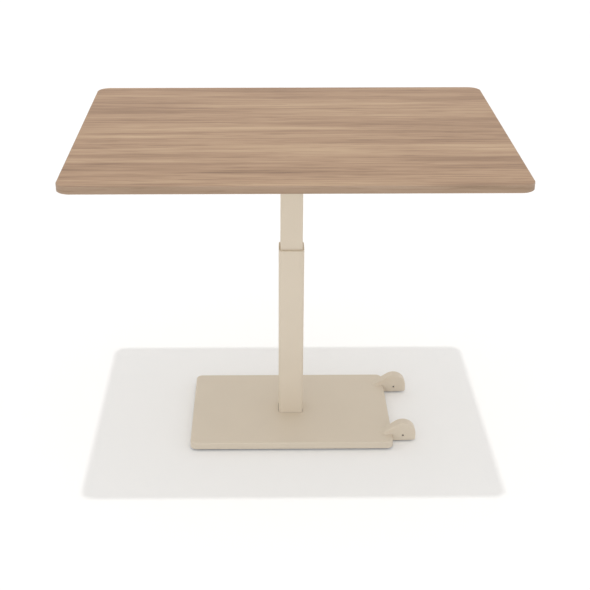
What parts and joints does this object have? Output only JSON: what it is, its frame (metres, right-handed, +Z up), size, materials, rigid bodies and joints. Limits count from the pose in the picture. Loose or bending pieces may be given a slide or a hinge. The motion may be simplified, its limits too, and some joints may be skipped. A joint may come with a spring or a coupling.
{
  "type": "telescoping pedestal table",
  "caption": "Rectangular wood-laminate table on a telescoping rectangular column, with a flat weighted base that tips on to two housed wheels and a paddle release.",
  "frame": {"origin": "on the floor under the middle of the worktop", "axes": "+X along the table's length towards the wheels, +Y away from the user, +Z up"},
  "size_m": [1.219, 0.914, 0.945],
  "materials": {
    "laminate": "oak-look high-pressure laminate, matt",
    "edge_band": "wood-look edge band, matt",
    "core": "raw particle board",
    "backer": "plain laminate, matt",
    "powder_coat": "warm beige powder coat, fine texture",
    "frame_paint": "warm beige powder coat",
    "ballast": "black paint on steel plate",
    "zinc": "zinc-plated steel",
    "black_steel": "black oxide steel",
    "spring_black": "black painted cylinder",
    "rod_chrome": "ground and chromed",
    "guide_plastic": "black acetal",
    "rim_plastic": "beige acetal",
    "black_plastic": "moulded black nylon",
    "glide_plastic": "moulded nylon",
    "tyre_rubber": "soft polyurethane",
    "hub_nylon": "moulded grey nylon",
    "seal_rubber": "rubber seal",
    "cable_jacket": "black vinyl jacket"
  },
  "bodies": {
    "base": {"base_cover": "powder_coat", "ballast_plate": "ballast", "column_foot_plate": "ballast", "foot_bolts": "black_steel", "outer_tube": "powder_coat", "upper_guide_bush": "rim_plastic", "spring_riser": "zinc", "riser_screws": "zinc", "gas_spring_cylinder": "spring_black", "gas_spring_rod_guide": "seal_rubber", "floor_glides": "glide_plastic", "glide_screws": "zinc", "cover_spacers": "black_plastic", "cover_screws": "zinc", "wheel_housing_front": "powder_coat", "wheel_housing_rear": "powder_coat", "housing_spacers": "black_plastic", "housing_screws": "zinc", "wheel_axle_front": "zinc", "wheel_axle_rear": "zinc"},
    "wheel_front": {"wheel_hub_front": "hub_nylon", "wheel_tyre_front": "tyre_rubber"},
    "wheel_rear": {"wheel_hub_rear": "hub_nylon", "wheel_tyre_rear": "tyre_rubber"},
    "top": {"inner_tube": "powder_coat", "lower_guide_sleeve": "guide_plastic", "head_plate": "frame_paint", "rail_screws": "zinc", "support_rail_front": "frame_paint", "support_rail_rear": "frame_paint", "end_arm_left": "frame_paint", "end_arm_right": "frame_paint", "arm_end_caps": "black_plastic", "top_core": "core", "top_laminate": "laminate", "top_backer": "backer", "edge_band": "edge_band", "worktop_screws": "zinc", "gas_spring_rod": "rod_chrome", "gas_spring_piston": "guide_plastic", "rod_nuts": "zinc", "release_bracket": "zinc", "release_bracket_screws": "zinc", "rocker_pivot_pin": "zinc", "paddle_bracket": "zinc", "paddle_bracket_screws": "zinc", "paddle_pivot_pin": "zinc", "release_cable": "cable_jacket", "cable_clip": "black_plastic", "clip_screw": "zinc", "cable_ferrules": "zinc"},
    "paddle": {"release_paddle": "black_plastic"},
    "wire": {"release_wire": "zinc"},
    "rocker": {"release_rocker": "zinc"},
    "pin": {"release_pin": "rod_chrome"}
  },
  "joints": [
    {"name": "height_slide", "type": "slide", "parent": "base", "child": "top", "axis": [0, 0, 1], "range_m": [-0.305, 0]},
    {"name": "wheel_front_roll", "type": "hinge", "parent": "base", "child": "wheel_front", "pos_m": [0.3425, -0.149, 0.0235], "axis": [0, 1, 0], "continuous": true},
    {"name": "wheel_rear_roll", "type": "hinge", "parent": "base", "child": "wheel_rear", "pos_m": [0.3425, 0.149, 0.0235], "axis": [0, 1, 0], "continuous": true},
    {"name": "paddle_squeeze", "type": "hinge", "parent": "top", "child": "paddle", "pos_m": [0.18, -0.3, 0.9164], "axis": [-1, 0, 0], "range_deg": [0, 8], "stiffness_Nm_per_rad": 2, "springref_deg": -11.46},
    {"name": "wire_pull", "type": "slide", "parent": "top", "child": "wire", "axis": [0, -1, 0], "range_m": [0, 0.0019]},
    {"name": "rocker_press", "type": "hinge", "parent": "top", "child": "rocker", "pos_m": [0, 0.018, 0.9054], "axis": [1, 0, 0], "range_deg": [0, 8.2]},
    {"name": "pin_press", "type": "slide", "parent": "top", "child": "pin", "axis": [0, 0, -1], "range_m": [0, 0.0027]}
  ],
  "couplings": [
    {"joint": "wire_pull", "follows": "paddle_squeeze", "m_per_rad": 0.012958},
    {"joint": "rocker_press", "follows": "paddle_squeeze", "ratio": 1},
    {"joint": "pin_press", "follows": "paddle_squeeze", "m_per_rad": 0.018621}
  ]
}
